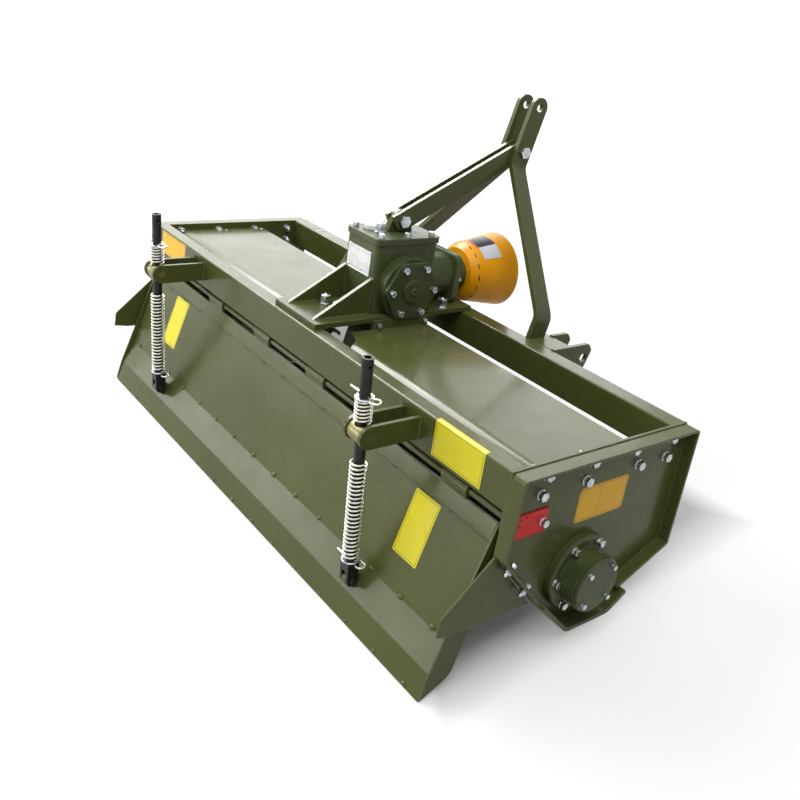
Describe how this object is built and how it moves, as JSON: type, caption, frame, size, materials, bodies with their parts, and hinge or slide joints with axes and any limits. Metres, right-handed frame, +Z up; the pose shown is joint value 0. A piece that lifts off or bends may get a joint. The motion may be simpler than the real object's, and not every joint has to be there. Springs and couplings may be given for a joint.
{
  "type": "rear-mounted rotary tiller",
  "caption": "Tractor-mounted rotary tiller: bent-tine rotor under a flat hood, centre gearbox with guarded input, hitch mast and a hinged levelling apron on spring rods.",
  "frame": {"origin": "on the floor under the middle of the whole machine's box", "axes": "+X to the right seen from behind, +Y towards the tractor, +Z up; the machine stands tipped nose-down on its skids and its apron's lip"},
  "size_m": [1.586, 0.909, 0.8158],
  "materials": {
    "olive_paint": "glossy olive drab enamel",
    "cast_paint": "olive enamel over castings",
    "tine_steel": "olive enamel on forged tines",
    "bright_steel": "bare turned steel",
    "zinc_plate": "zinc plated",
    "spring_zinc": "zinc plated spring wire",
    "black_paint": "semi-gloss black",
    "guard_plastic": "moulded yellow-orange plastic",
    "plug_plastic": "pale moulded plastic"
  },
  "bodies": {
    "frame": {"rear_beam": "olive_paint", "front_beam": "olive_paint", "end_plates": "olive_paint", "side_plate_right": "olive_paint", "side_plate_left": "olive_paint", "skid_right": "olive_paint", "skid_left": "olive_paint", "bearing_housing_right": "cast_paint", "bearing_housing_left": "cast_paint", "bearing_caps": "cast_paint", "hood_right": "olive_paint", "hood_left": "olive_paint", "drive_case": "cast_paint", "gearbox_base": "olive_paint", "gearbox_housing": "cast_paint", "gearbox_top_cover": "cast_paint", "filler_plug": "plug_plastic", "gearbox_side_covers": "cast_paint", "input_bearing": "cast_paint", "pto_guard": "guard_plastic", "top_lug": "olive_paint", "stays": "olive_paint", "stay_bolts": "zinc_plate", "mast_bar_right": "olive_paint", "mast_bar_left": "olive_paint", "hitch_bracket_right": "olive_paint", "hitch_bracket_left": "olive_paint", "hinge_rod": "bright_steel", "rod_arms": "olive_paint", "side_shields": "olive_paint"},
    "rotor": {"rotor_right": "tine_steel", "rotor_left": "tine_steel", "rotor_axle": "tine_steel"},
    "input_shaft": {"input_shaft": "bright_steel"},
    "apron": {"apron_panel": "olive_paint", "apron_hinge": "olive_paint", "apron_ends": "olive_paint", "rod_lugs": "olive_paint"},
    "rod_right": {"spring_rod_right": "black_paint", "lower_spring_right": "spring_zinc"},
    "trunnion_right": {"rod_trunnion_right": "zinc_plate", "upper_spring_right": "spring_zinc"},
    "rod_left": {"spring_rod_left": "black_paint", "lower_spring_left": "spring_zinc"},
    "trunnion_left": {"rod_trunnion_left": "zinc_plate", "upper_spring_left": "spring_zinc"}
  },
  "joints": [
    {"name": "rotor_spin", "type": "hinge", "parent": "frame", "child": "rotor", "pos_m": [0, -0.10249, 0.13403], "axis": [1, 0, 0], "continuous": true},
    {"name": "input_spin", "type": "hinge", "parent": "frame", "child": "input_shaft", "pos_m": [0, 0.28007, 0.39637], "axis": [0, 0.9842, -0.1772], "continuous": true},
    {"name": "apron_hinge", "type": "hinge", "parent": "frame", "child": "apron", "pos_m": [0, -0.2749, 0.32765], "axis": [-1, 0, 0], "range_deg": [0, 25], "deforming": ["lower_spring_right", "lower_spring_left"]},
    {"name": "rod_pin_right", "type": "hinge", "parent": "apron", "child": "rod_right", "pos_m": [0.453, -0.42601, 0.08662], "axis": [-1, 0, 0], "range_deg": [-4.02, 0]},
    {"name": "trunnion_turn_right", "type": "hinge", "parent": "frame", "child": "trunnion_right", "pos_m": [0.453, -0.38701, 0.40474], "axis": [-1, 0, 0], "range_deg": [0, 21.98]},
    {"name": "rod_pin_left", "type": "hinge", "parent": "apron", "child": "rod_left", "pos_m": [-0.453, -0.42601, 0.08662], "axis": [-1, 0, 0], "range_deg": [-4.02, 0]},
    {"name": "trunnion_turn_left", "type": "hinge", "parent": "frame", "child": "trunnion_left", "pos_m": [-0.453, -0.38701, 0.40474], "axis": [-1, 0, 0], "range_deg": [0, 21.98]}
  ],
  "couplings": [
    {"joint": "input_spin", "follows": "rotor_spin", "ratio": -2.45},
    {"joint": "rod_pin_right", "follows": "apron_hinge", "ratio": -0.145},
    {"joint": "trunnion_turn_right", "follows": "apron_hinge", "ratio": 0.855},
    {"joint": "rod_pin_left", "follows": "apron_hinge", "ratio": -0.145},
    {"joint": "trunnion_turn_left", "follows": "apron_hinge", "ratio": 0.855}
  ]
}
